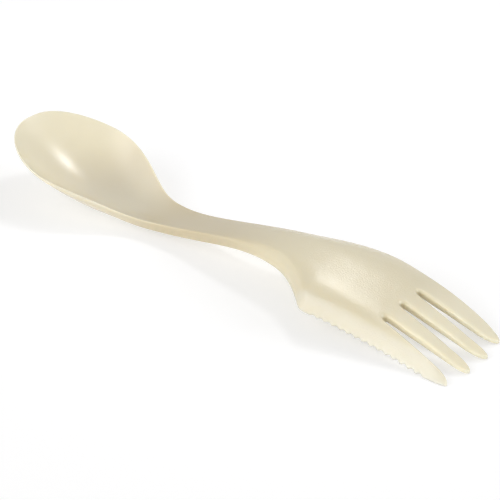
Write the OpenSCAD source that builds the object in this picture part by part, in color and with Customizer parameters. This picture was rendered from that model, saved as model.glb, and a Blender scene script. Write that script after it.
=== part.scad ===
/* [Overall] */
// Length from the rim of the spoon to the points of the longest tines
length = 170; // [160:2:180]
// Full width across the spoon bowl, the widest place
bowl_width = 37.4; // [34:0.4:42]
// Full width across the fork head
head_width = 36.8; // [34:0.4:38]
// Full width of the handle at its waist
waist_width = 11; // [9:0.5:14]

/* [Side profile] */
// Height of the rim at the spoon's far end
rim_height = 20; // [18:0.5:22]
// Height of the edge at the neck, behind the bowl
neck_height = 5.2; // [4.6:0.2:7]
// Height of the edge at the crest, between handle and fork head
crest_height = 12.3; // [11:0.1:14]
// Height of the middle of the fork head above the table
dome_height = 14.2; // [13.6:0.2:16]
// Height of the middle of the sheet where the tines part
tine_root_height = 9.3; // [8.7:0.1:10.5]
// How far the dome rolls down towards the blade, below its other edge
blade_roll = 1.1; // [0.6:0.1:1.4]
// How far the blade's cutting edge hangs below the head's other edge
blade_hang = 1.8; // [1.2:0.1:2]

/* [Wall] */
// Wall of the spoon bowl at its lowest place
bowl_wall = 2.1; // [1.8:0.1:2.6]
// Wall at the rim of the spoon's far end
rim_wall = 0.7; // [0.6:0.1:1.2]
// Thickness of the handle
handle_wall = 3.1; // [2.6:0.1:3.8]
// Thickness where the tines part
tine_root_wall = 2.5; // [2:0.1:3]
// Thickness at the points of the tines
tine_tip_wall = 1; // [0.8:0.1:1.2]
// Width of the flat rim round the bowl
rim_land = 0.3; // [0.2:0.05:0.5]
// Size of the break along each long edge
edge_break = 0.3; // [0.2:0.05:0.5]
// How much of the bowl's round underside is cut away by the flat that it stands on
foot_sag = 0.25; // [0.2:0.05:0.3]

/* [Tines] */
// Length of a slot, from its round root to the points of the inner tines
slot_length = 26.1; // [24:0.3:27]
// Width of a slot at its round root
slot_width = 1.7; // [1.4:0.1:2.4]
// Width of a slot where the tines begin to narrow
slot_mouth = 4; // [3.2:0.2:4.4]
// How much shorter the outer tines are
outer_tip_back = 1.6; // [0.8:0.2:2.4]
// Length over which a tine narrows to its point
tip_length = 7; // [6:0.5:8]

/* [Blade] */
// Number of serrations
teeth = 15; // [12:1:20]
// Depth of the hollows between the last serrations; the first are half as deep
tooth_depth = 0.5; // [0.3:0.1:0.6]
// Rounding of the heel's corner
heel_round = 2.5; // [1.5:0.5:3.5]
// Length of plain edge between the heel and the first serration
plain_edge = 3.4; // [2.6:0.2:4]
// Thickness left at the cutting edge
cutting_edge = 0.5; // [0.4:0.1:0.8]
// Width of the bevel at the last serration
bevel_width = 3.5; // [3:0.1:3.8]
// Width of the bevel at the heel
bevel_start = 1.6; // [1.3:0.1:1.9]
// Width of the serrated strip at its middle
strip_width = 1.4; // [1:0.1:1.6]

/* [Hidden] */

// The spoon's rim lies towards -X, the tines towards +X and the blade on the -Y side.
// Places along the object, measured from the spoon's rim, as shares of the length.
wide_share = 0.13;
rim_bend_share = 0.224;
floor_share = 0.23;
shoulder_share = 0.235;
throat_share = 0.306;
neck_share = 0.315;
hollow_end_share = 0.394;
waist_share = 0.453;
crest_share = 0.606;
rise_share = 0.624;
dome_share = 0.659;
heel_share = 0.719;
head_wide_share = 0.788;
stand_end_share = 0.78;
bend_share = 0.965;

wide_x = wide_share * length;
neck_x = neck_share * length;
hollow_end_x = hollow_end_share * length;
waist_x = waist_share * length;
crest_x = crest_share * length;
dome_x = dome_share * length;
heel_x = heel_share * length;
bend_x = bend_share * length;
bowl_end_x = (neck_x + hollow_end_x) / 2;
handle_end_x = (waist_x + crest_x) / 2;
outer_tip_x = length - outer_tip_back;

slot_x = length - slot_length;

// The serrations run up to where the knife tine narrows.
blade_start_x = heel_x + plain_edge;
blade_end_x = outer_tip_x - tip_length;
tooth_pitch = (blade_end_x - blade_start_x) / teeth;

// The slots divide the head evenly, a little nearer the far side at their roots than at their mouths,
// and the tines' points spread with them.
slot_pitch = 0.2174 * head_width;
root_offset = 0.075 * slot_pitch;
slot_drift = 0.11 * slot_pitch;
inner_tip_y = 0.54 * slot_pitch;
outer_tip_y = 1.575 * slot_pitch;

// The bowl's plan is egg-shaped: these exponents set how blunt its end is.
egg_reach = 1.74;
egg_round = 2.32;
// Exponents of the cross-section: the bowl is rounder, the head flatter in the middle, and flattest towards
// the blade.
bowl_fullness = 2;
dome_fullness = 3;
blade_fullness = 4.5;
// How closely the extra depth at the blade keeps to the edge.
hang_fullness = 4;
// How bluntly a tine's sides close to its point, and the share of the taper that is left open.
point_fullness = 2;
point_share = 0.97;
// The share of the knife tine's width that its bevel may take.
bevel_reach = 0.8;

// Each driving line below is a list of stations: place, value, slope.
edge_line = [[0, rim_height, -0.4], [rim_bend_share * length, 0.489 * rim_height, -0.335],
             [neck_x, neck_height, 0], [crest_x, crest_height, 0],
             [slot_x, 0.8 * tine_root_height, -0.17], [length, 0.3 * tine_tip_wall, -0.4]];
floor_height = bowl_wall - foot_sag;
hollow_end_height = value(edge_line, hollow_end_x) - foot_sag;
centre_line = [[0, rim_height, -1.1], [floor_share * length, floor_height, 0.04],
               [hollow_end_x, hollow_end_height, 0.23], [dome_x, dome_height, 0],
               [slot_x, tine_root_height, -0.25], [length, 1.2 * tine_tip_wall, -0.43]];
wall_line = [[0, rim_wall, 0], [wide_x, 1.2 * rim_wall, 0.04], [floor_share * length, bowl_wall, 0.06],
             [neck_x, 0.82 * handle_wall, 0.03], [waist_x, handle_wall, 0], [dome_x, 0.94 * handle_wall, 0],
             [slot_x, tine_root_wall, 0], [length, 0.95 * tine_tip_wall, -0.12]];

// Half-widths of the far side, from the widest place of the bowl to the tines.
far_line = [[wide_x, bowl_width / 2, 0], [shoulder_share * length, 0.36 * bowl_width, -0.476],
            [throat_share * length, 0.22 * bowl_width, -0.273], [waist_x, waist_width / 2, 0],
            [dome_x, 0.33 * head_width, 0.466], [head_wide_share * length, head_width / 2, 0],
            [bend_x, 0.415 * head_width, -0.19], [length, 0.385 * head_width, -0.2]];
// Half-widths of the blade side, up to the heel and on from it.
near_line = [[wide_x, bowl_width / 2, 0], [shoulder_share * length, 0.36 * bowl_width, -0.476],
             [throat_share * length, 0.22 * bowl_width, -0.273], [waist_x, waist_width / 2, 0],
             [rise_share * length, 0.192 * head_width, 0.2], [heel_x, 0.47 * head_width, 1]];
blade_line = [[heel_x, 0.47 * head_width, -0.18], [bend_x, 0.367 * head_width, -0.02],
              [length, 0.35 * head_width, -0.2]];
bevel_line = [[0, edge_break, 0], [waist_x, edge_break, 0], [crest_x, 0.6 * bevel_start, 0.02],
              [heel_x, bevel_start, 0.06], [blade_end_x, bevel_width, 0.03], [length, bevel_width, 0]];

// The serrated strip runs out to nothing just inside both ends of the serrations.
run_out = tooth_pitch / 5;
tooth_xs = [for (k = [1:teeth - 1]) blade_start_x + k * tooth_pitch];
seam_xs = concat([blade_start_x, blade_start_x + run_out], [for (x = tooth_xs) if (x < slot_x) x], [slot_x],
                 [for (x = tooth_xs) if (x > slot_x) x], [blade_end_x - run_out, blade_end_x]);
wave_steps = 4;

root_r = slot_width / 2;
mouth_x = length - tip_length;

// Steps across the sheet and along it
across_bowl = 14;
across_handle = 8;
across_head = 13;
across_tine = 4;
round_steps = 12;
heel_steps = 6;
length_step = length / 60;
blunt_angle = 3.4;
ivory = "#ece6d2";

// A smooth step from 0 to 1
function ease(s) = let (c = min(1, max(0, s))) c * c * (3 - 2 * c);

function mix(a, b, s) = a + (b - a) * s;

// The lower of two values, with the corner between them rounded
function soft_min(a, b, round) = let (h = max(round - abs(a - b), 0) / round) min(a, b) - h * h * round / 4;

// A cubic stretch between two stations
function stretch(a, b, x) =
    let (run = b[0] - a[0], s = (x - a[0]) / run)
    (2 * s ^ 3 - 3 * s ^ 2 + 1) * a[1] + (s ^ 3 - 2 * s ^ 2 + s) * run * a[2]
    + (3 * s ^ 2 - 2 * s ^ 3) * b[1] + (s ^ 3 - s ^ 2) * run * b[2];

// The value of a driving line at x
function value(line, x, i = 0) =
    i == len(line) - 2 || x <= line[i + 1][0] ? stretch(line[i], line[i + 1], x) : value(line, x, i + 1);

// The straight line that goes on from a station
function onward(station, x) = station[1] + (x - station[0]) * station[2];

// Half-widths of the outline on each side; the blade side turns a rounded corner at the heel.
function egg(x) = bowl_width / 2 * (1 - (1 - x / wide_x) ^ egg_reach) ^ (1 / egg_round);
function far_half(x) = x < wide_x ? egg(x) : value(far_line, x);
function near_half(x) =
    x < wide_x ? egg(x) : x < waist_x ? value(near_line, x)
    : x < heel_x ? soft_min(value(near_line, x), onward(blade_line[0], x), heel_round)
    : soft_min(onward(near_line[len(near_line) - 1], x), value(blade_line, x), heel_round);

// How far a place lies on the way from the bowl to the fork head
function head_part(x) = ease((x - neck_x) / (crest_x - neck_x));

// Half-width over which the sheet is hollow or domed: the bowl keeps a flat rim outside it.
function hollow_half(x) = max(far_half(x) / 2, far_half(x) - rim_land * (1 - head_part(x)));
function rim_middle(x) = (hollow_half(x) + far_half(x)) / 2;

function wall(x) = value(wall_line, x);
function edge_cut(x) = min(edge_break, 0.3 * wall(x));
function bevel(x) = value(bevel_line, x);

// How far the sheet's edge on the blade side has come down by x, towards the heel
function roll(x) =
    blade_roll * ease((x - crest_x) / (heel_x - crest_x)) * ease((length - x) / (length - slot_x));

// Height of the sheet's upper side before its edges are worked
function crown(x, y) =
    let (heelward = ease((x - crest_x) / (heel_x - crest_x)),
         near_reach = mix(hollow_half(x), near_half(x), heelward),
         reach = y < 0 ? near_reach : hollow_half(x),
         edge = value(edge_line, x) - (y < 0 ? roll(x) : 0),
         dome = mix(dome_fullness, y < 0 ? blade_fullness : dome_fullness, heelward),
         fullness = mix(bowl_fullness, dome, head_part(x)))
    mix(value(centre_line, x), edge, min(1, abs(y) / reach) ^ fullness);

// Height of the lowest edge on the blade side
function low_edge(x) =
    max(0, value(edge_line, x) - wall(x) - blade_hang * ease((x - waist_x) / (slot_x - waist_x)));

// Height left standing at the edge on the blade side, under the bevel
function stand(x) =
    mix(wall(x) - edge_cut(x), cutting_edge, ease((x - crest_x) / (stand_end_share * length - crest_x)));

// The sheet at one place of its section: y, height of the upper side, height of the underside.
// On the blade side a bevel of the given width ends at y = edge.
function mark(x, y, edge, bevel) =
    let (top = y >= edge + bevel ? crown(x, y)
             : mix(low_edge(x) + stand(x), crown(x, edge + bevel), (y - edge) / bevel),
         spare = crown(x, edge) - wall(x) - low_edge(x),
         under = crown(x, y) - wall(x) - spare * max(0, y / edge) ^ hang_fullness)
    [y, top, max(0, under)];

// The same place on a long edge, with its upper and lower corners broken
function broken(x, m, top_cut, under_cut) =
    [m[0], m[1] - top_cut * edge_cut(x), m[2] + under_cut * edge_cut(x)];

// Evenly spaced values from a to b
function evenly(a, b, steps) = [for (i = [0:steps]) mix(a, b, i / steps)];

// A ring across X through the marks, along the upper side and back along the underside
function ring(x, marks) = concat([for (m = marks) [x - length / 2, m[0], m[1]]],
    [for (i = [len(marks) - 1:-1:0]) [x - length / 2, marks[i][0], marks[i][2]]]);

// A section of the whole sheet: free edges on both sides, inner places in between
function sheet_ring(x, inner) =
    let (edge = -near_half(x), far = far_half(x), width = bevel(x),
         under_cut = 1 - ease((x - handle_end_x) / (heel_x - handle_end_x)))
    ring(x, concat([broken(x, mark(x, edge, edge, width), 0, under_cut)],
                   [for (y = inner) mark(x, y, edge, width)],
                   [broken(x, mark(x, far, edge, width), 1, 1)]));

// The serrated strip meets the rest along a seam that is straight from tooth to tooth.
function blade_part(x) = (x - blade_start_x) / (blade_end_x - blade_start_x);
function strip(x) = strip_width * (1 - (2 * blade_part(x) - 1) ^ 4);
function seam_mark(x) = let (edge = -near_half(x)) mark(x, edge + strip(x), edge, bevel(x));
function seam(x, i = 0) =
    i == len(seam_xs) - 2 || x <= seam_xs[i + 1]
        ? mix(seam_mark(seam_xs[i]), seam_mark(seam_xs[i + 1]),
              (x - seam_xs[i]) / (seam_xs[i + 1] - seam_xs[i]))
        : seam(x, i + 1);

// How far the wavy edge lies behind the points of the teeth
function wave(x) =
    tooth_depth * mix(0.5, 1, blade_part(x)) * (1 - cos(360 * (x - blade_start_x) / tooth_pitch)) / 2;

// How far along a slot x lies, from 0 at its root to 1 at its mouth
function slot_part(x) = min(1, max(0, (x - slot_x) / (mouth_x - slot_x)));

// The middle of a slot, -1 next to the knife tine, 0 or 1, and its half-width with its round root
function slot_y(i, x) = i * slot_pitch + root_offset - slot_drift * slot_part(x);
function gap(x) = let (run = x - slot_x)
    run < root_r ? sqrt(max(0, root_r ^ 2 - (root_r - run) ^ 2)) : mix(root_r, slot_mouth / 2, slot_part(x));

// How far along its narrowing end a tine is, from 0 to just under 1
function taper(x, tip_x) = point_share * max(0, (x - tip_x) / tip_length + 1);

// Sides of a tine between a and b that closes to a point at tip_x, tip_y
function tine_sides(x, a, b, tip_x, tip_y) =
    let (s = taper(x, tip_x), middle = mix((a + b) / 2, tip_y, s ^ 2),
         half = (b - a) / 2 * sqrt(1 - s ^ point_fullness))
    [middle - half, middle + half];

// A section of a tine with two broken edges
function tine_ring(x, sides) =
    let (cut = edge_cut(x), edge = -near_half(x), width = bevel(x))
    ring(x, concat([broken(x, mark(x, sides[0], edge, width), 1, 1)],
                   [for (y = evenly(sides[0] + cut, sides[1] - cut, across_tine)) mark(x, y, edge, width)],
                   [broken(x, mark(x, sides[1], edge, width), 1, 1)]));

// Places along a tine: round its root, along it and round its point
root_xs = [for (i = [0:5]) slot_x + root_r * (1 - cos(18 * i))];
function tip_xs(tip_x) = [for (i = [0:7]) tip_x - tip_length * (1 - sin(90 * i / 7))];
function tine_xs(tip_x) =
    let (free = tip_x - tip_length - slot_x - root_r, steps = ceil(free / length_step))
    concat(root_xs, [for (i = [1:steps - 1]) slot_x + root_r + free * i / steps], tip_xs(tip_x));

// A closed skin through rings that all have the same number of points
module skin(rings) {
    count = len(rings[0]);
    last = (len(rings) - 1) * count;
    sides = [for (r = [0:len(rings) - 2], i = [0:count - 1])
        let (a = r * count + i, b = r * count + (i + 1) % count)
        each [[a, b, b + count], [a, b + count, a + count]]];
    ends = [for (i = [0:count / 2 - 2])
        let (j = count - 1 - i)
        each [[i + 1, i, j], [i + 1, j, j - 1],
              [last + i, last + i + 1, last + j - 1], [last + i, last + j - 1, last + j]]];
    polyhedron([for (r = rings) each r], concat(sides, ends), convexity = 6);
}

// The bowl with its neck, down to where the hollow runs out
module spoon_bowl() {
    round_xs = [for (i = [0:round_steps]) wide_x * (1 - cos(mix(blunt_angle, 90, i / round_steps)))];
    steps = ceil((bowl_end_x - wide_x) / length_step);
    straight_xs = [for (i = [1:steps]) mix(wide_x, bowl_end_x, i / steps)];
    color(ivory) skin([for (x = concat(round_xs, straight_xs))
        sheet_ring(x, concat([-rim_middle(x)], evenly(-hollow_half(x), hollow_half(x), across_bowl),
                             [rim_middle(x)]))]);
}

// The handle, from the neck up to the foot of the dome
module handle() {
    steps = ceil((handle_end_x - bowl_end_x) / length_step);
    color(ivory) skin([for (x = evenly(bowl_end_x, handle_end_x, steps))
        sheet_ring(x, evenly(bevel(x) - near_half(x), far_half(x) - edge_cut(x), across_handle))]);
}

// The domed head, up to the roots of the slots; from the first serration on it stops at the serrated strip.
module fork_head() {
    turn_x = heel_x - heel_round;
    plain_xs = evenly(handle_end_x, turn_x, ceil((turn_x - handle_end_x) / length_step));
    turn_xs = [for (i = [1:heel_steps]) mix(turn_x, blade_start_x, i / heel_steps)];
    color(ivory) skin(concat(
        [for (x = concat(plain_xs, turn_xs))
            sheet_ring(x, evenly(bevel(x) - near_half(x), far_half(x) - edge_cut(x), across_head))],
        [for (x = seam_xs) if (x > blade_start_x && x <= slot_x)
            let (edge = -near_half(x), far = far_half(x), width = bevel(x))
            ring(x, concat([seam(x)],
                [for (y = evenly(edge + width, far - edge_cut(x), across_head)) mark(x, y, edge, width)],
                [broken(x, mark(x, far, edge, width), 1, 1)]))]));
}

// The serrated strip along the lower edge of the bevel
module serrated_blade() {
    xs = [for (k = [1:len(seam_xs) - 3], i = [0:wave_steps - 1])
        mix(seam_xs[k], seam_xs[k + 1], i / wave_steps)];
    color(ivory) skin([for (x = concat(xs, [blade_end_x - run_out]))
        let (edge = -near_half(x))
        ring(x, [mark(x, edge + min(wave(x), strip(x) / 2), edge, bevel(x)), seam(x)])]);
}

// The outer tine that carries the end of the blade
module knife_tine() {
    after_root_xs = [for (x = seam_xs) if (x > slot_x + root_r && x < blade_end_x) x];
    color(ivory) skin([for (x = concat(root_xs, after_root_xs, tip_xs(outer_tip_x)))
        let (sides = tine_sides(x, -near_half(x), slot_y(-1, x) - gap(x), outer_tip_x, -outer_tip_y),
             cut = edge_cut(x),
             width = min(bevel(x), bevel_reach * (sides[1] - sides[0])),
             first = x < blade_end_x ? seam(x) : mark(x, sides[0], sides[0], width))
        ring(x, concat([first],
            [for (y = evenly(sides[0] + width, sides[1] - cut, across_tine)) mark(x, y, sides[0], width)],
            [broken(x, mark(x, sides[1], sides[0], width), 1, 1)]))]);
}

// An inner tine between slot i and the next one, with its point at tip_y
module inner_tine(i, tip_y) {
    color(ivory) skin([for (x = tine_xs(length))
        tine_ring(x, tine_sides(x, slot_y(i, x) + gap(x), slot_y(i + 1, x) - gap(x), length, tip_y))]);
}

module inner_tine_near() inner_tine(-1, -inner_tip_y);
module inner_tine_far() inner_tine(0, inner_tip_y);

// The plain outer tine on the far side
module outer_tine() {
    color(ivory) skin([for (x = tine_xs(outer_tip_x))
        tine_ring(x, tine_sides(x, slot_y(1, x) + gap(x), far_half(x), outer_tip_x, outer_tip_y))]);
}

spoon_bowl();
handle();
fork_head();
serrated_blade();
knife_tine();
inner_tine_near();
inner_tine_far();
outer_tine();
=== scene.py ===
"""A double-ended eating utensil in one ivory moulding, lying on a white table."""
import math

import bmesh
import bpy
import numpy as np
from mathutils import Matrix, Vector
from mathutils.geometry import delaunay_2d_cdt


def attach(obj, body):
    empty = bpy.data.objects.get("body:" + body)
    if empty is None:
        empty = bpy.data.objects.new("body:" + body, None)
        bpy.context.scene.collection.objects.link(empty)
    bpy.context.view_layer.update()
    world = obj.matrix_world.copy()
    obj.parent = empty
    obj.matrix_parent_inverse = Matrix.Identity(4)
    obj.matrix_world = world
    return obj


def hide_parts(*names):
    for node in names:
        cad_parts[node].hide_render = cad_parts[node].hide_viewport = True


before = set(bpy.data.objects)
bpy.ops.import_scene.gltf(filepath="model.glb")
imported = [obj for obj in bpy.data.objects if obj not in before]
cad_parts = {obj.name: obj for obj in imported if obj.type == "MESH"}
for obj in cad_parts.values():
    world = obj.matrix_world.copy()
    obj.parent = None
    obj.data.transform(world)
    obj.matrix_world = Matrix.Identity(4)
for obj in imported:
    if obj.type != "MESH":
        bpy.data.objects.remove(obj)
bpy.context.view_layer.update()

MM = 0.001
NODES = ["spoon_bowl", "handle", "fork_head", "serrated_blade",
         "knife_tine", "inner_tine_near", "inner_tine_far", "outer_tine"]

# Sizes in millimetres and angles in degrees. Places along the object start at the spoon's rim.
length = 170
bowl_width, head_width, waist_width = 37.4, 36.8, 11
rim_height, neck_height, crest_height, dome_height, tine_root_height = 20, 5.2, 12.3, 14.2, 9.3
blade_roll, blade_hang = 1.1, 1.8
bowl_wall, rim_wall, handle_wall, tine_root_wall, tine_tip_wall = 2.1, 0.7, 3.1, 2.5, 1
rim_land, foot_sag, blunt_angle = 0.2, 0.25, 3.4
slot_length, slot_width, slot_mouth = 26.1, 1.7, 4
outer_tip_back, tip_length = 1.6, 7
teeth, tooth_depth, plain_edge = 15, 0.5, 3.4
cutting_edge, edge_break, heel_round = 0.5, 0.3, 2.5
bevel_width, bevel_start, bevel_least, bevel_grade = 3.5, 1.6, 0.2, 0.4
ridge_round_start, ridge_round, ridge_run = 0.7, 0.2, 4
neck_soft, neck_soft_reach = 3, 12
rim_fillet, side_fillet, slot_fillet, blade_fillet = 0.35, 0.45, 1.0, 0.14

# How full the curves are: a higher power stays flat for longer and then turns faster.
egg_reach, egg_round = 1.74, 2.32
bowl_fullness, dome_fullness, blade_fullness, hang_fullness = 2, 3, 4.5, 4
tip_lean, tip_fullness = 2, 2.4

# Fineness of the mesh, in millimetres and in points.
outline_step, loop_step, lattice_step = 0.1, 0.3, 0.75
rim_points, tip_points, root_points = 400, 90, 40
upper_rings, lower_rings = 5, 3
lattice_margin, clear_of_outline, clear_of_fillet = 0.5, 0.35, 0.3
least_thick, same_place, weld = 0.3, 1e-6, 1e-7
wish_rounds, fillet_rounds = 12, 6
batch = 2000

wide_x, rim_bend_x, floor_x = 0.13 * length, 0.224 * length, 0.23 * length
shoulder_x, throat_x, neck_x = 0.235 * length, 0.306 * length, 0.315 * length
hollow_end_x, waist_x, crest_x = 0.394 * length, 0.453 * length, 0.606 * length
rise_x, dome_x, heel_x = 0.624 * length, 0.659 * length, 0.719 * length
stand_end_x, head_wide_x, bend_x = 0.78 * length, 0.788 * length, 0.965 * length
blunt_x = wide_x * (1 - math.cos(math.radians(blunt_angle)))
outer_tip_x = length - outer_tip_back
slot_x = length - slot_length
mouth_x = length - tip_length
root_r = slot_width / 2
root_end_x = slot_x + root_r
blade_start_x = heel_x + plain_edge
blade_end_x = outer_tip_x - tip_length
slot_pitch = 0.2174 * head_width
root_offset = 0.075 * slot_pitch
slot_drift = 0.11 * slot_pitch
inner_tip_y = 0.54 * slot_pitch
outer_tip_y = 1.575 * slot_pitch


def ease(s):
    """A share from 0 to 1 that starts and ends softly."""
    c = np.clip(s, 0, 1)
    return c * c * (3 - 2 * c)


def mix(a, b, s):
    return a + (b - a) * s


def value(line, x):
    """The value at x of a smooth line through stations, each a place, a value and a slope."""
    x = np.asarray(x, float)
    out = np.zeros_like(x)
    for i in range(len(line) - 1):
        a, b = line[i], line[i + 1]
        low = -np.inf if i == 0 else a[0]
        high = np.inf if i == len(line) - 2 else b[0]
        run = b[0] - a[0]
        s = (x - a[0]) / run
        y = ((2 * s ** 3 - 3 * s ** 2 + 1) * a[1] + (s ** 3 - 2 * s ** 2 + s) * run * a[2]
             + (3 * s ** 2 - 2 * s ** 3) * b[1] + (s ** 3 - s ** 2) * run * b[2])
        out = np.where((x > low) & (x <= high), y, out)
    return out


# The driving lines: heights of the edge and of the middle, the wall, the half-widths, the bevel.
EDGE = [[0, rim_height, -0.4], [rim_bend_x, 0.489 * rim_height, -0.335],
        [neck_x, neck_height, 0], [crest_x, crest_height, 0],
        [slot_x, 0.8 * tine_root_height, -0.17], [length, 0.3 * tine_tip_wall, -0.4]]
hollow_end_height = float(value(EDGE, hollow_end_x)) - foot_sag
CENTRE = [[0, rim_height, -1.1], [floor_x, bowl_wall - foot_sag, 0.04],
          [hollow_end_x, hollow_end_height, 0.23], [dome_x, dome_height, 0],
          [slot_x, tine_root_height, -0.25], [length, 1.2 * tine_tip_wall, -0.43]]
WALL = [[0, rim_wall, 0], [wide_x, 1.2 * rim_wall, 0.04], [floor_x, bowl_wall, 0.06],
        [neck_x, 0.82 * handle_wall, 0.03], [waist_x, handle_wall, 0],
        [dome_x, 0.94 * handle_wall, 0], [slot_x, tine_root_wall, 0],
        [length, 0.95 * tine_tip_wall, -0.12]]
BOWL_SIDE = [[wide_x, bowl_width / 2, 0], [shoulder_x, 0.36 * bowl_width, -0.476],
             [throat_x, 0.22 * bowl_width, -0.273], [waist_x, waist_width / 2, 0]]
FAR = BOWL_SIDE + [[dome_x, 0.33 * head_width, 0.466], [head_wide_x, head_width / 2, 0],
                   [bend_x, 0.415 * head_width, -0.19], [length, 0.385 * head_width, -0.2]]
NEAR = BOWL_SIDE + [[rise_x, 0.192 * head_width, 0.2], [heel_x, 0.47 * head_width, 1]]
BLADE = [[heel_x, 0.47 * head_width, -0.18], [bend_x, 0.367 * head_width, -0.02],
         [length, 0.35 * head_width, -0.2]]
BEVEL = [[0, edge_break, 0], [waist_x, edge_break, 0], [crest_x, 0.6 * bevel_start, 0.02],
         [heel_x, bevel_start, 0.06], [blade_end_x, bevel_width, 0.03], [length, bevel_width, 0]]


def soft_min(a, b, blend):
    """The lower of two heights, with the ridge between them rounded."""
    h = np.maximum(blend - np.abs(a - b), 0) / blend
    return np.minimum(a, b) - h * h * blend / 4


def egg(x):
    """Half the width of the bowl's round end."""
    share = np.clip(1 - np.abs(1 - x / wide_x) ** egg_reach, 0, 1)
    return bowl_width / 2 * share ** (1 / egg_round)


def far_half(x):
    """Half-width of the plan on the side without a blade."""
    return np.where(x < wide_x, egg(x), value(FAR, x))


def near_half(x):
    """Half-width of the plan on the blade's side, with the heel's corner rounded."""
    rise = np.where(x < heel_x, value(NEAR, x), NEAR[-1][1] + (x - heel_x) * NEAR[-1][2])
    fall = np.where(x > heel_x, value(BLADE, x), BLADE[0][1] + (x - heel_x) * BLADE[0][2])
    side = np.where(x < waist_x, rise, soft_min(rise, fall, heel_round))
    return np.where(x < wide_x, egg(x), side)


def head_part(x):
    """0 up to the neck and 1 from the crest on."""
    return ease((x - neck_x) / (crest_x - neck_x))


def edge_height(x):
    """Height of the sheet's edge, with the turn at the neck softened."""
    spread = neck_soft * ease(1.5 - np.abs(x - neck_x) / neck_soft_reach)
    return (value(EDGE, x - spread) + value(EDGE, x) + value(EDGE, x + spread)) / 3


def hollow_half(x):
    """Half-width inside the bowl's flat rim."""
    return np.maximum(far_half(x) / 2, far_half(x) - rim_land * (1 - head_part(x)))


def crown(x, y):
    """Height of the sheet's upper side before its edges are worked."""
    heelward = ease((x - crest_x) / (heel_x - crest_x))
    roll = blade_roll * heelward * ease((length - x) / (length - slot_x))
    reach = np.where(y < 0, mix(hollow_half(x), near_half(x), heelward), hollow_half(x))
    edge = edge_height(x) - np.where(y < 0, roll, 0)
    sharper = (blade_fullness - dome_fullness) * heelward
    fullness = mix(bowl_fullness, dome_fullness, head_part(x)) + np.where(y < 0, sharper, 0)
    return mix(value(CENTRE, x), edge, np.minimum(1, np.abs(y) / reach) ** fullness)


def slot_part(x):
    """0 at the slots' roots and 1 at their mouths."""
    return np.clip((x - slot_x) / (mouth_x - slot_x), 0, 1)


def slot_y(i, x):
    """The middle of a slot: -1 is the nearest to the blade, 1 the farthest."""
    return i * slot_pitch + root_offset - slot_drift * slot_part(x)


def gap(x):
    """Half the width of a slot, with its round root."""
    run = x - slot_x
    round_root = np.sqrt(np.maximum(0, root_r ** 2 - (root_r - run) ** 2))
    return np.where(run < root_r, round_root, mix(root_r, slot_mouth / 2, slot_part(x)))


def tine_sides(x, a, b, tip_x, tip_y):
    """Both sides of a tine between a and b, drawn together into its tip."""
    s = np.clip((x - tip_x) / tip_length + 1, 0, 1)
    middle = mix((a + b) / 2, tip_y, s ** tip_lean)
    half = (b - a) / 2 * np.sqrt(1 - s ** tip_fullness)
    return middle - half, middle + half


# The tines from the far side to the blade: far side, near side, tip's place, wished fillets.
TINES = [
    (far_half, lambda x: slot_y(1, x) + gap(x), outer_tip_x, outer_tip_y, side_fillet, slot_fillet),
    (lambda x: slot_y(1, x) - gap(x), lambda x: slot_y(0, x) + gap(x), length, inner_tip_y,
     slot_fillet, slot_fillet),
    (lambda x: slot_y(0, x) - gap(x), lambda x: slot_y(-1, x) + gap(x), length, -inner_tip_y,
     slot_fillet, slot_fillet),
    (lambda x: slot_y(-1, x) - gap(x), lambda x: -near_half(x), outer_tip_x, -outer_tip_y,
     slot_fillet, blade_fillet)]


def surfaces(x, y):
    """Heights of the upper side and the underside at places of the plan."""
    x, y = np.asarray(x, float), np.asarray(y, float)
    high, low, tip_x, tip_y, _, _ = TINES[-1]
    blade_side, slot_side = tine_sides(x, low(x), high(x), tip_x, tip_y)
    edge = np.where(x > slot_x, blade_side, -near_half(x))
    bevel = value(BEVEL, x)
    tine_bevel = np.minimum(bevel, np.maximum(bevel_least, 0.8 * (slot_side - blade_side)))
    bevel = np.where(x > slot_x, tine_bevel, bevel)
    wall = value(WALL, x)
    hang = blade_hang * ease((x - waist_x) / (slot_x - waist_x))
    low_edge = np.maximum(0, edge_height(x) - wall - hang)
    stand = mix(wall - np.minimum(edge_break, 0.3 * wall), cutting_edge,
                ease((x - crest_x) / (stand_end_x - crest_x)))
    plain = crown(x, y)
    shoulder = crown(x, edge + bevel)
    grade = (shoulder - low_edge - stand) / bevel
    past = y - edge - bevel
    slope = shoulder + past * np.where(past > 0, np.maximum(grade, bevel_grade), grade)
    ridge = mix(ridge_round_start, ridge_round,
                ease((x - crest_x) / (heel_x + ridge_run - crest_x)))
    cut = np.where(y < 0, soft_min(plain, slope, ridge), plain)
    top = mix(plain, cut, ease((x - waist_x) / (crest_x - waist_x)))
    spare = crown(x, edge) - wall - low_edge
    under = plain - wall - spare * np.maximum(0, y / edge) ** hang_fullness
    return top, np.maximum(0, under)


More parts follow.
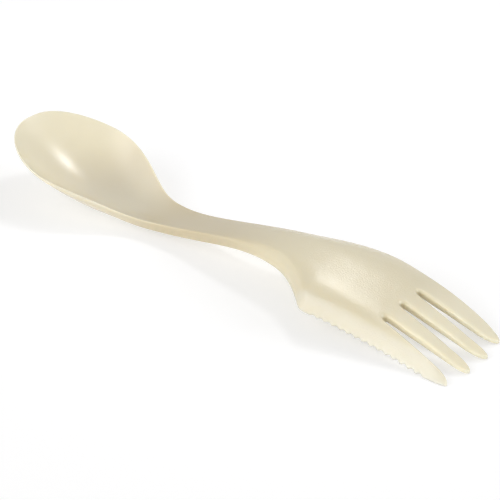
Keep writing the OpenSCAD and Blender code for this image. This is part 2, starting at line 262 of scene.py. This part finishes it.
def outline():
    """The plan's outline, a closed run, clockwise from above, with each point's wished fillet."""
    points = []

    def add(xs, ys, fillet):
        points.extend(zip(xs, ys, np.broadcast_to(fillet, np.shape(xs))))

    def tine(x_from, x_to, high, low, tip_x, tip_y, high_fillet, low_fillet):
        start = tip_x - tip_length
        xs = np.arange(x_from, start, outline_step)
        add(xs, high(xs), high_fillet)
        xs = start + tip_length * np.sin(np.linspace(0, math.pi / 2, tip_points))
        sides = tine_sides(xs, low(xs), high(xs), tip_x, tip_y)
        add(xs, sides[1], mix(high_fillet, low_fillet, np.linspace(0, 0.5, tip_points)))
        add(xs[-2::-1], sides[0][-2::-1],
            mix(high_fillet, low_fillet, np.linspace(0.5, 1, tip_points - 1)))
        xs = np.arange(start, x_to, -outline_step)
        add(xs, low(xs), low_fillet)

    def root(i):
        turn = np.linspace(math.pi / 2, -math.pi / 2, root_points)
        xs = slot_x + root_r * (1 - np.cos(turn))
        add(xs, slot_y(i, xs) + root_r * np.sin(turn), slot_fillet)

    def handle_fillet(xs):
        return mix(rim_fillet, side_fillet, ease((xs - neck_x) / (waist_x - neck_x)))

    turn = np.linspace(0, math.pi / 2, rim_points)[1:]
    rim_xs = np.maximum(blunt_x, wide_x * (1 - np.cos(turn)))
    add(rim_xs, egg(rim_xs), rim_fillet)
    xs = np.arange(wide_x, dome_x, outline_step)[1:]
    add(xs, far_half(xs), handle_fillet(xs))
    starts = [dome_x] + [root_end_x] * 3
    ends = [root_end_x] * 3 + [blade_end_x - outline_step]
    for k, (start, end, sides) in enumerate(zip(starts, ends, TINES)):
        if k > 0:
            root(2 - k)
        tine(start, end, *sides)
    xs = np.arange(blade_end_x, heel_x, -outline_step)
    part = (xs - blade_start_x) / (blade_end_x - blade_start_x)
    wave = tooth_depth * mix(0.5, 1, part) * (1 - np.cos(2 * math.pi * teeth * part)) / 2
    add(xs, np.where(part > 0, wave, 0) - near_half(xs), blade_fillet)
    xs = np.arange(heel_x, wide_x, -outline_step)
    bladeward = ease((xs - crest_x) / (heel_x - crest_x))
    add(xs, -near_half(xs), mix(handle_fillet(xs), blade_fillet, bladeward))
    add(rim_xs[::-1], -egg(rim_xs[::-1]), rim_fillet)
    return np.array(points)


def even_loop(points):
    """The same closed run with its points at even distances."""
    step = np.hypot(*np.diff(np.vstack([points, points[:1]])[:, :2], axis=0).T)
    keep = step > same_place
    points, step = points[keep], step[keep]
    reached = np.concatenate([[0], np.cumsum(step)])
    closed = np.vstack([points, points[:1]])
    at = np.linspace(0, reached[-1], int(reached[-1] / loop_step), endpoint=False)
    return np.stack([np.interp(at, reached, column) for column in closed.T], -1)


def smooth_closed(a, rounds):
    for _ in range(rounds):
        a = (np.roll(a, 1, 0) + 2 * a + np.roll(a, -1, 0)) / 4
    return a


def lattice():
    """Places of an even triangular lattice that lie inside the outline."""
    rows = np.arange(-bowl_width / 2, bowl_width / 2, lattice_step * math.sqrt(3) / 2)
    spots = []
    for j, y in enumerate(rows):
        xs = np.arange(lattice_margin + (j % 2) * lattice_step / 2, length, lattice_step)
        spots.append(np.stack([xs, np.full_like(xs, y)], -1))
    spots = np.vstack(spots)
    x, y = spots.T
    ok = (y < far_half(x)) & (y > -near_half(x))
    for i in (-1, 0, 1):
        ok &= ~((x > slot_x) & (np.abs(y - slot_y(i, x)) < gap(x)))
    inside = x <= blade_end_x
    for high, low, tip_x, tip_y, _, _ in TINES:
        a, b = tine_sides(x, low(x), high(x), tip_x, tip_y)
        inside |= (y > a) & (y < b) & (x < tip_x)
    return spots[ok & inside]


def distance_to_loop(spots):
    out = np.empty(len(spots))
    for i in range(0, len(spots), batch):
        d = spots[i:i + batch, None, :] - loop[None, :, :2]
        out[i:i + batch] = np.sqrt((d ** 2).sum(-1).min(1))
    return out


loop = even_loop(outline())
wish = smooth_closed(loop[:, 2], wish_rounds)
tangent = np.roll(loop[:, :2], -1, 0) - np.roll(loop[:, :2], 1, 0)
tangent /= np.linalg.norm(tangent, axis=1)[:, None]
inward = np.stack([tangent[:, 1], -tangent[:, 0]], -1)
top, under = surfaces(loop[:, 0], loop[:, 1])
thick = np.maximum(top - under, least_thick)
top_fillet = smooth_closed(np.minimum(wish, 0.42 * thick), fillet_rounds)
under_fillet = smooth_closed(np.minimum(0.5 * wish, 0.15 * thick), fillet_rounds)
count = len(loop)
ring = [(i, (i + 1) % count) for i in range(count)]
spots = lattice()
away = distance_to_loop(spots)


def sheet(side, fillet, fine):
    """Vertices and faces of the upper side (1) or underside (-1); its first loop is the outline."""
    rings = []
    for k in range(fine + 1):
        turn = math.pi / 2 * k / fine
        xy = loop[:, :2] + inward * (fillet * (1 - math.cos(turn)))[:, None]
        height = surfaces(xy[:, 0], xy[:, 1])[0 if side > 0 else 1]
        rings.append(np.column_stack([xy, height - side * fillet * (1 - math.sin(turn))]))
    faces = [(k * count + i, k * count + j, (k + 1) * count + j, (k + 1) * count + i)
             for k in range(fine) for i, j in ring]
    fillet_reach = fillet.max() + clear_of_outline
    deep = spots[away > fillet_reach]
    edgeward = (away <= fillet_reach) & (away > clear_of_outline)
    shallow = spots[edgeward]
    near = np.array([fillet[np.argmin(((loop[:, :2] - s) ** 2).sum(1))] for s in shallow])
    inner = np.vstack([deep, shallow[away[edgeward] > near + clear_of_fillet]])
    flat = [Vector(p) for p in np.vstack([rings[-1][:, :2], inner]).tolist()]
    points, _, triangles, origin, _, _ = delaunay_2d_cdt(flat, ring, [], 1, weld)
    index, new = {}, []
    for n, source in enumerate(origin):
        if source and source[0] < count:
            index[n] = fine * count + source[0]
        else:
            index[n] = (fine + 1) * count + len(new)
            new.append(points[n])
    xy = np.array([[p.x, p.y] for p in new])
    height = surfaces(xy[:, 0], xy[:, 1])[0 if side > 0 else 1]
    vertices = np.vstack(rings + [np.column_stack([xy, height])])
    faces += [tuple(index[a] for a in t) for t in triangles]
    return vertices, faces


bm = bmesh.new()


def placed(points):
    """New vertices at places in millimetres."""
    return [bm.verts.new(((x - length / 2) * MM, y * MM, z * MM)) for x, y, z in points]


upper, upper_faces = sheet(1, top_fillet, upper_rings)
lower, lower_faces = sheet(-1, under_fillet, lower_rings)
up, down = placed(upper), placed(lower)
for f in upper_faces:
    bm.faces.new([up[i] for i in f])
for f in lower_faces:
    bm.faces.new([down[i] for i in reversed(f)])
for i, j in ring:
    bm.faces.new((up[j], up[i], down[i], down[j]))
bmesh.ops.recalc_face_normals(bm, faces=bm.faces)
for f in bm.faces:
    f.smooth = True
mesh = bpy.data.meshes.new("moulding")
bm.to_mesh(mesh)
bm.free()
moulding = bpy.data.objects.new("moulding", mesh)
bpy.context.collection.objects.link(moulding)
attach(moulding, "root")
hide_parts(*NODES)


def feed(tree, node, sources):
    """Links a node's sockets to other nodes' outputs, or sets them to plain numbers and colours."""
    for socket, source in sources.items():
        if isinstance(source, bpy.types.NodeSocket):
            tree.links.new(source, node.inputs[socket])
        else:
            node.inputs[socket].default_value = source


def add_node(tree, kind, sources):
    node = tree.nodes.new(kind)
    feed(tree, node, sources)
    return node


def calculated(tree, operation, *terms):
    """The result of one operation on other nodes' outputs and plain numbers."""
    node = tree.nodes.new("ShaderNodeMath")
    node.operation = operation
    feed(tree, node, dict(enumerate(terms)))
    return node.outputs["Value"]


def smooth_ramp(tree, source, start, end, low, high):
    """A value that goes smoothly from low to high while its source goes from start to end."""
    node = tree.nodes.new("ShaderNodeMapRange")
    node.interpolation_type = "SMOOTHSTEP"
    feed(tree, node, {"Value": source, "From Min": start, "From Max": end,
                      "To Min": low, "To Max": high})
    return node.outputs["Result"]


def toned(tree, base, tone, factor):
    """A colour moved towards a tone by a factor."""
    node = tree.nodes.new("ShaderNodeMix")
    node.data_type = "RGBA"
    feed(tree, node, {"A": base, "B": (*tone, 1), "Factor": factor})
    return node.outputs["Result"]


def background_rays(tree):
    """1 for the rays that see the plain white surroundings: camera, glossy and transmission rays."""
    path = tree.nodes.new("ShaderNodeLightPath")
    seen_by = path.outputs["Is Camera Ray"]
    for kind in ("Is Glossy Ray", "Is Transmission Ray"):
        seen_by = calculated(tree, "MAXIMUM", seen_by, path.outputs[kind])
    return seen_by


def ivory_plastic():
    """Slightly translucent ivory, polished in the bowl and finely grained elsewhere, with painted
    shade on the neck and handle and painted light on the tines and the bevel.
    """
    plastic = bpy.data.materials.new("ivory_plastic")
    plastic.use_nodes = True
    tree = plastic.node_tree
    place = tree.nodes.new("ShaderNodeTexCoord").outputs["Object"]
    axes = add_node(tree, "ShaderNodeSeparateXYZ", {"Vector": place})
    cloud_dark, cloud_light = (0.71, 0.655, 0.515), (0.75, 0.695, 0.555)
    head_tone, tine_glow_tone = (0.755, 0.68, 0.475), (0.87, 0.82, 0.645)
    painted_shade_tone, bevel_glow_tone = (0.61, 0.53, 0.365), (0.74, 0.71, 0.62)
    tine_fade_before, tine_fade_after, painted_shade_reach = 4, 12, 10
    bevel_lean, bevel_foot, bevel_ridge = 0.12, -19.9, -17.9
    bowl_grain, head_grain, grain_depth = 0.06, 0.4, 0.2
    bowl_roughness, head_roughness, light_depth = 0.27, 0.23, 1.2

    def along(from_x, to_x, low, high):
        """A value that goes from low to high between two places along the object."""
        start, end = ((x - length / 2) * MM for x in (from_x, to_x))
        return smooth_ramp(tree, axes.outputs["X"], start, end, low, high)

    cloud = add_node(tree, "ShaderNodeTexNoise", {"Vector": place, "Scale": 60, "Detail": 3})
    colour = toned(tree, (*cloud_dark, 1), cloud_light, cloud.outputs["Fac"])

    # The head is a shade warmer than the bowl.
    colour = toned(tree, colour, head_tone, along(neck_x, crest_x, 0, 0.7))

    # Painted light: the tines are painted paler, standing in for the light that shines through their
    # thin plastic.
    tines = along(slot_x - tine_fade_before, slot_x + tine_fade_after, 0, 0.7)
    colour = toned(tree, colour, tine_glow_tone, tines)

    # Painted shade: the neck and the handle are painted darker and browner, standing in for the
    # dimmer light that falls on them.
    painted_shade_here = calculated(tree, "MULTIPLY", along(floor_x, neck_x + painted_shade_reach, 0, 1),
                            along(waist_x, dome_x, 1, 0))
    colour = toned(tree, colour, painted_shade_tone, painted_shade_here)

    # Painted light: the blade's bevel is painted paler, standing in for its sheen and the light that
    # shines through its thin edge.
    across = calculated(tree, "MULTIPLY_ADD", axes.outputs["X"], -bevel_lean, axes.outputs["Y"])
    bevel_glow_here = smooth_ramp(tree, across, bevel_foot * MM, bevel_ridge * MM, 0.5, 0)
    colour = toned(tree, colour, bevel_glow_tone, bevel_glow_here)

    # The bowl is polished; the rest has a fine grain.
    grain = add_node(tree, "ShaderNodeTexNoise", {"Vector": place, "Scale": 2600, "Detail": 2})
    bump = add_node(tree, "ShaderNodeBump", {
        "Height": grain.outputs["Fac"], "Distance": grain_depth * MM,
        "Strength": along(neck_x, crest_x, bowl_grain, head_grain)})
    feed(tree, tree.nodes["Principled BSDF"], {
        "Base Color": colour, "Normal": bump.outputs["Normal"],
        "Roughness": along(neck_x, crest_x, bowl_roughness, head_roughness),
        "Specular IOR Level": 0.6, "Subsurface Weight": 1.0,
        "Subsurface Radius": (1.0, 0.95, 0.85), "Subsurface Scale": light_depth * MM})
    return plastic


def white_table():
    """White that keeps the object's shadow near it and fades to the surroundings' white far away."""
    fade_start, fade_end = 0.15, 0.5
    white = bpy.data.materials.new("white_table")
    white.use_nodes = True
    tree = white.node_tree
    shader = tree.nodes["Principled BSDF"]
    feed(tree, shader, {"Base Color": (0.9, 0.9, 0.9, 1), "Roughness": 0.35,
                        "Specular IOR Level": 0.3})
    # Seen from the camera, a slightly cool lit part and a slightly warm glow add up to white, and
    # together they paint a warm tint into the object's shadow.
    shaded = add_node(tree, "ShaderNodeBsdfDiffuse", {"Color": (0.54, 0.545, 0.565, 1)})
    glow = add_node(tree, "ShaderNodeEmission", {"Color": (1, 0.99, 0.96, 1), "Strength": 0.55})
    seen = add_node(tree, "ShaderNodeAddShader",
                    {0: shaded.outputs["BSDF"], 1: glow.outputs["Emission"]})
    pure = tree.nodes.new("ShaderNodeEmission")
    place = tree.nodes.new("ShaderNodeTexCoord")
    from_middle = tree.nodes.new("ShaderNodeVectorMath")
    from_middle.operation = "LENGTH"
    feed(tree, from_middle, {0: place.outputs["Object"]})
    fade = smooth_ramp(tree, from_middle.outputs["Value"], fade_start, fade_end, 0, 1)
    far_white = add_node(tree, "ShaderNodeMixShader", {
        "Fac": fade, 1: seen.outputs["Shader"], 2: pure.outputs["Emission"]})
    chosen = add_node(tree, "ShaderNodeMixShader", {
        "Fac": background_rays(tree), 1: shader.outputs["BSDF"], 2: far_white.outputs["Shader"]})
    feed(tree, tree.nodes["Material Output"], {"Surface": chosen.outputs["Shader"]})
    return white


def white_world():
    """Surroundings that light the object at a plain level and look white themselves."""
    world = bpy.data.worlds.new("studio")
    world.use_nodes = True
    tree = world.node_tree
    level = add_node(tree, "ShaderNodeMix", {"A": 0.3, "B": 1.0, "Factor": background_rays(tree)})
    feed(tree, tree.nodes["Background"],
         {"Color": (1, 1, 1, 1), "Strength": level.outputs["Result"]})
    return world


mesh.materials.append(ivory_plastic())

# The table, with its half width in metres.
half_table = 4
corners = [(x * half_table, y * half_table, 0) for x, y in ((-1, -1), (1, -1), (1, 1), (-1, 1))]
floor_mesh = bpy.data.meshes.new("table_top")
floor_mesh.from_pydata(corners, [], [(0, 1, 2, 3)])
floor_mesh.materials.append(white_table())
table = bpy.data.objects.new("table_top", floor_mesh)
bpy.context.collection.objects.link(table)
bpy.context.scene.world = white_world()

# The lamps: power for a weight of one at one metre, and places and widths in metres.
lamp_power, far_away = 10, 5
near_place, near_width, near_weight = (-0.037, 0.16, 0.24), 0.06, 0.21


def softbox(name, place, size, weight):
    """A round soft light at a place in metres, facing the object, with its width and strength."""
    place = Vector(place)
    data = bpy.data.lights.new(name, "AREA")
    data.shape, data.size = "DISK", size
    data.energy = lamp_power * weight * place.length_squared
    lamp = bpy.data.objects.new(name, data)
    lamp.location = place
    lamp.rotation_euler = place.to_track_quat("Z", "Y").to_euler()
    bpy.context.collection.objects.link(lamp)


softbox("back_light", near_place, near_width, near_weight)
for name, azimuth, elevation, spread, weight in (
        ("left_front_light", 238, 42, 34, 0.23), ("low_left_light", 255, 20, 34, 0.25),
        ("right_light", 45, 26, 34, 0.25), ("low_right_light", 30, 22, 34, 0.15),
        ("camera_side_light", 315, 20, 34, 0.08), ("low_front_light", 295, 8, 16, 0.24)):
    turn, rise = math.radians(azimuth), math.radians(elevation)
    aim = Vector((math.cos(turn) * math.cos(rise), math.sin(turn) * math.cos(rise), math.sin(rise)))
    softbox(name, aim * far_away, 2 * far_away * math.tan(math.radians(spread / 2)), weight)

# The camera: angles in degrees, distance, target and lens in millimetres, clipping in metres.
view_turn, view_rise, view_distance = 39.97, 31.35, 461
view_target = Vector((8.5, -3.23, 8))
lens, sensor, clip_near, clip_far = 115.2, 36, 0.01, 20
camera_data = bpy.data.cameras.new("camera")
camera_data.lens, camera_data.sensor_width = lens, sensor
camera_data.clip_start, camera_data.clip_end = clip_near, clip_far
camera = bpy.data.objects.new("camera", camera_data)
turn, rise = math.radians(view_turn), math.radians(view_rise)
eye = Vector((math.sin(turn) * math.cos(rise), -math.cos(turn) * math.cos(rise), math.sin(rise)))
camera.location = (view_target + eye * view_distance) * MM
camera.rotation_euler = eye.to_track_quat("Z", "Y").to_euler()
bpy.context.collection.objects.link(camera)
bpy.context.scene.camera = camera
bpy.context.scene.view_settings.view_transform = "Standard"
